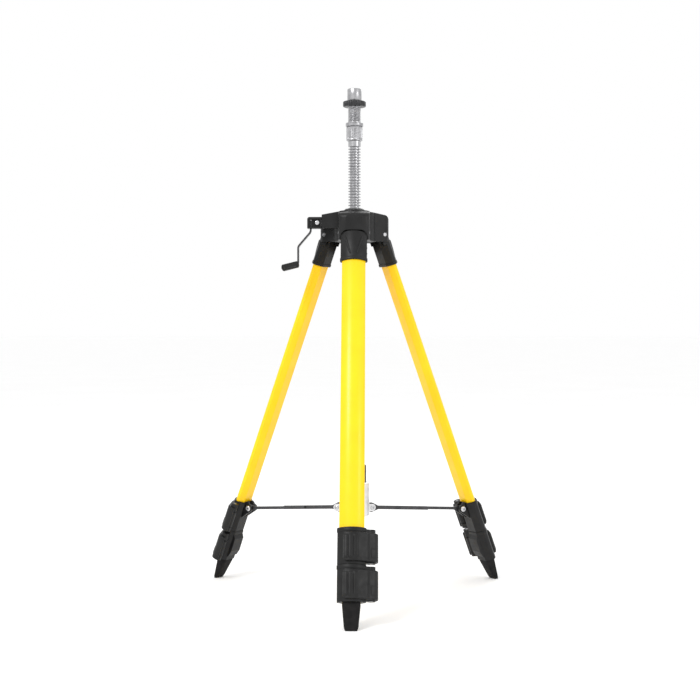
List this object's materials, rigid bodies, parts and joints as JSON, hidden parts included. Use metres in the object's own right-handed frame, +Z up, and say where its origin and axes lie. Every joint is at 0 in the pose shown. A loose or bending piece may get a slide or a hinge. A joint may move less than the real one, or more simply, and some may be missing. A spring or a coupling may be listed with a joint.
{
  "type": "laser level tripod",
  "caption": "Open elevator tripod with telescoping legs, spreader braces, a crank-raised column and a threaded stud on top for a laser level.",
  "frame": {"origin": "on the floor, on the centre column's axis", "axes": "+Z up along the column to the stud; one leg points to -Y, the crank to -X, the column lock to +Y"},
  "size_m": [0.3428, 0.3059, 0.565],
  "materials": {
    "black_head": "satin, lightly textured moulding",
    "black_plastic": "satin moulding",
    "dark_bush": "smooth moulding",
    "yellow_tube": "gloss yellow paint",
    "steel": "plated",
    "vial": "clear, yellow-green liquid",
    "brass": "plain",
    "rod_steel": "plated, ringed",
    "stud_steel": "turned",
    "black_ring": "black",
    "black_strap": "satin black",
    "light_metal": "cast, satin",
    "black_foot": "matte",
    "dark_strip": "dark coated strip"
  },
  "bodies": {
    "head": {"head_shell": "black_head", "head_base_cover": "black_plastic", "column_bush": "dark_bush", "center_tube": "yellow_tube", "leg_hinge_pins": "steel", "level_vial": "vial"},
    "column": {"column_rod": "rod_steel", "mount_stud": "stud_steel"},
    "lock_ring": {"lock_ring": "black_ring"},
    "crank": {"crank_shaft": "steel", "crank_pinion": "steel", "crank_hub": "black_head", "crank_screw": "steel", "crank_arm": "black_strap"},
    "lock_pad": {"lock_pad": "brass"},
    "lock_knob": {"lock_knob": "black_head", "lock_screw": "steel"},
    "hub": {"brace_hub": "light_metal", "lock_collar": "black_plastic", "hub_brace_pins": "steel"},
    "thumb_screw": {"collar_thumb_screw": "black_plastic"},
    "leg_front": {"front_leg_socket": "black_plastic", "front_upper_tube": "yellow_tube", "front_upper_clamp": "black_plastic", "front_upper_clamp_pins": "steel"},
    "upper_lever_front": {"front_upper_lever": "black_plastic"},
    "middle_front": {"front_middle_tube": "yellow_tube", "front_lower_clamp": "black_plastic", "front_lower_clamp_pin": "steel"},
    "lower_lever_front": {"front_lower_lever": "black_plastic"},
    "lower_front": {"front_lower_tube": "yellow_tube", "front_foot": "black_foot"},
    "brace_inner_front": {"front_brace_inner": "dark_strip"},
    "brace_outer_front": {"front_brace_outer": "dark_strip"},
    "leg_right": {"right_leg_socket": "black_plastic", "right_upper_tube": "yellow_tube", "right_upper_clamp": "black_plastic", "right_upper_clamp_pins": "steel"},
    "upper_lever_right": {"right_upper_lever": "black_plastic"},
    "middle_right": {"right_middle_tube": "yellow_tube", "right_lower_clamp": "black_plastic", "right_lower_clamp_pin": "steel"},
    "lower_lever_right": {"right_lower_lever": "black_plastic"},
    "lower_right": {"right_lower_tube": "yellow_tube", "right_foot": "black_foot"},
    "brace_inner_right": {"right_brace_inner": "dark_strip"},
    "brace_outer_right": {"right_brace_outer": "dark_strip"},
    "leg_left": {"left_leg_socket": "black_plastic", "left_upper_tube": "yellow_tube", "left_upper_clamp": "black_plastic", "left_upper_clamp_pins": "steel"},
    "upper_lever_left": {"left_upper_lever": "black_plastic"},
    "middle_left": {"left_middle_tube": "yellow_tube", "left_lower_clamp": "black_plastic", "left_lower_clamp_pin": "steel"},
    "lower_lever_left": {"left_lower_lever": "black_plastic"},
    "lower_left": {"left_lower_tube": "yellow_tube", "left_foot": "black_foot"},
    "brace_inner_left": {"left_brace_inner": "dark_strip"},
    "brace_outer_left": {"left_brace_outer": "dark_strip"}
  },
  "joints": [
    {"name": "column_slide", "type": "slide", "parent": "head", "child": "column", "axis": [0, 0, 1], "range_m": [-0.0754, 0.1885]},
    {"name": "crank_spin", "type": "hinge", "parent": "head", "child": "crank", "pos_m": [0, -0.012, 0.4145], "axis": [1, 0, 0], "range_deg": [-721, 1801]},
    {"name": "lock_ring_turn", "type": "hinge", "parent": "column", "child": "lock_ring", "pos_m": [0, 0, 0.548], "axis": [0, 0, 1], "range_deg": [-360, 360]},
    {"name": "lock_slide", "type": "slide", "parent": "head", "child": "lock_pad", "axis": [0, 1, 0], "range_m": [0, 0.0025]},
    {"name": "lock_turn", "type": "hinge", "parent": "lock_pad", "child": "lock_knob", "pos_m": [0, 0.045, 0.387], "axis": [0, 1, 0], "range_deg": [0, 720]},
    {"name": "hub_slide", "type": "slide", "parent": "head", "child": "hub", "axis": [0, 0, 1], "range_m": [0, 0.0933]},
    {"name": "thumb_turn", "type": "hinge", "parent": "hub", "child": "thumb_screw", "pos_m": [0, 0.02, 0.135], "axis": [0, 1, 0], "range_deg": [0, 360]},
    {"name": "leg_fold_front", "type": "hinge", "parent": "head", "child": "leg_front", "pos_m": [0, -0.0295, 0.4025], "axis": [1, 0, 0], "range_deg": [0, 20.5]},
    {"name": "brace_inner_front_turn", "type": "hinge", "parent": "hub", "child": "brace_inner_front", "pos_m": [0, -0.0205, 0.0954], "axis": [1, 0, 0], "range_deg": [0, 84.1]},
    {"name": "brace_outer_front_turn", "type": "hinge", "parent": "leg_front", "child": "brace_outer_front", "pos_m": [0, -0.14195, 0.0862], "axis": [1, 0, 0], "range_deg": [0, 63.6]},
    {"name": "upper_lever_front_open", "type": "hinge", "parent": "leg_front", "child": "upper_lever_front", "pos_m": [0.0198, -0.15736, 0.07518], "axis": [0, 0.3665, 0.9304], "range_deg": [0, 90]},
    {"name": "middle_front_slide", "type": "slide", "parent": "leg_front", "child": "middle_front", "axis": [0, -0.3665, -0.9304], "range_m": [0, 0.24]},
    {"name": "lower_lever_front_open", "type": "hinge", "parent": "middle_front", "child": "lower_lever_front", "pos_m": [0.0198, -0.17114, 0.0402], "axis": [0, 0.3665, 0.9304], "range_deg": [0, 90]},
    {"name": "lower_front_slide", "type": "slide", "parent": "middle_front", "child": "lower_front", "axis": [0, -0.3665, -0.9304], "range_m": [0, 0.24]},
    {"name": "leg_fold_right", "type": "hinge", "parent": "head", "child": "leg_right", "pos_m": [0.02555, 0.01475, 0.4025], "axis": [-0.5, 0.866, 0], "range_deg": [0, 20.5]},
    {"name": "brace_inner_right_turn", "type": "hinge", "parent": "hub", "child": "brace_inner_right", "pos_m": [0.01775, 0.01025, 0.0954], "axis": [-0.5, 0.866, 0], "range_deg": [0, 84.1]},
    {"name": "brace_outer_right_turn", "type": "hinge", "parent": "leg_right", "child": "brace_outer_right", "pos_m": [0.12293, 0.07097, 0.0862], "axis": [-0.5, 0.866, 0], "range_deg": [0, 63.6]},
    {"name": "upper_lever_right_open", "type": "hinge", "parent": "leg_right", "child": "upper_lever_right", "pos_m": [0.12638, 0.09583, 0.07518], "axis": [-0.3174, -0.1833, 0.9304], "range_deg": [0, 90]},
    {"name": "middle_right_slide", "type": "slide", "parent": "leg_right", "child": "middle_right", "axis": [0.3174, 0.1833, -0.9304], "range_m": [0, 0.24]},
    {"name": "lower_lever_right_open", "type": "hinge", "parent": "middle_right", "child": "lower_lever_right", "pos_m": [0.13831, 0.10272, 0.0402], "axis": [-0.3174, -0.1833, 0.9304], "range_deg": [0, 90]},
    {"name": "lower_right_slide", "type": "slide", "parent": "middle_right", "child": "lower_right", "axis": [0.3174, 0.1833, -0.9304], "range_m": [0, 0.24]},
    {"name": "leg_fold_left", "type": "hinge", "parent": "head", "child": "leg_left", "pos_m": [-0.02555, 0.01475, 0.4025], "axis": [-0.5, -0.866, 0], "range_deg": [0, 20.5]},
    {"name": "brace_inner_left_turn", "type": "hinge", "parent": "hub", "child": "brace_inner_left", "pos_m": [-0.01775, 0.01025, 0.0954], "axis": [-0.5, -0.866, 0], "range_deg": [0, 84.1]},
    {"name": "brace_outer_left_turn", "type": "hinge", "parent": "leg_left", "child": "brace_outer_left", "pos_m": [-0.12293, 0.07097, 0.0862], "axis": [-0.5, -0.866, 0], "range_deg": [0, 63.6]},
    {"name": "upper_lever_left_open", "type": "hinge", "parent": "leg_left", "child": "upper_lever_left", "pos_m": [-0.14618, 0.06153, 0.07518], "axis": [0.3174, -0.1833, 0.9304], "range_deg": [0, 90]},
    {"name": "middle_left_slide", "type": "slide", "parent": "leg_left", "child": "middle_left", "axis": [-0.3174, 0.1833, -0.9304], "range_m": [0, 0.24]},
    {"name": "lower_lever_left_open", "type": "hinge", "parent": "middle_left", "child": "lower_lever_left", "pos_m": [-0.15811, 0.06842, 0.0402], "axis": [0.3174, -0.1833, 0.9304], "range_deg": [0, 90]},
    {"name": "lower_left_slide", "type": "slide", "parent": "middle_left", "child": "lower_left", "axis": [-0.3174, 0.1833, -0.9304], "range_m": [0, 0.24]}
  ],
  "couplings": [
    {"joint": "crank_spin", "follows": "column_slide", "rad_per_m": 166.67},
    {"joint": "lock_turn", "follows": "lock_slide", "rad_per_m": 5026.5},
    {"joint": "hub_slide", "follows": "leg_fold_front", "m_per_rad": 0.2605},
    {"joint": "brace_inner_front_turn", "follows": "leg_fold_front", "ratio": 4.097},
    {"joint": "brace_outer_front_turn", "follows": "leg_fold_front", "ratio": 3.097},
    {"joint": "leg_fold_right", "follows": "leg_fold_front", "ratio": 1},
    {"joint": "brace_inner_right_turn", "follows": "leg_fold_front", "ratio": 4.097},
    {"joint": "brace_outer_right_turn", "follows": "leg_fold_front", "ratio": 3.097},
    {"joint": "leg_fold_left", "follows": "leg_fold_front", "ratio": 1},
    {"joint": "brace_inner_left_turn", "follows": "leg_fold_front", "ratio": 4.097},
    {"joint": "brace_outer_left_turn", "follows": "leg_fold_front", "ratio": 3.097}
  ]
}
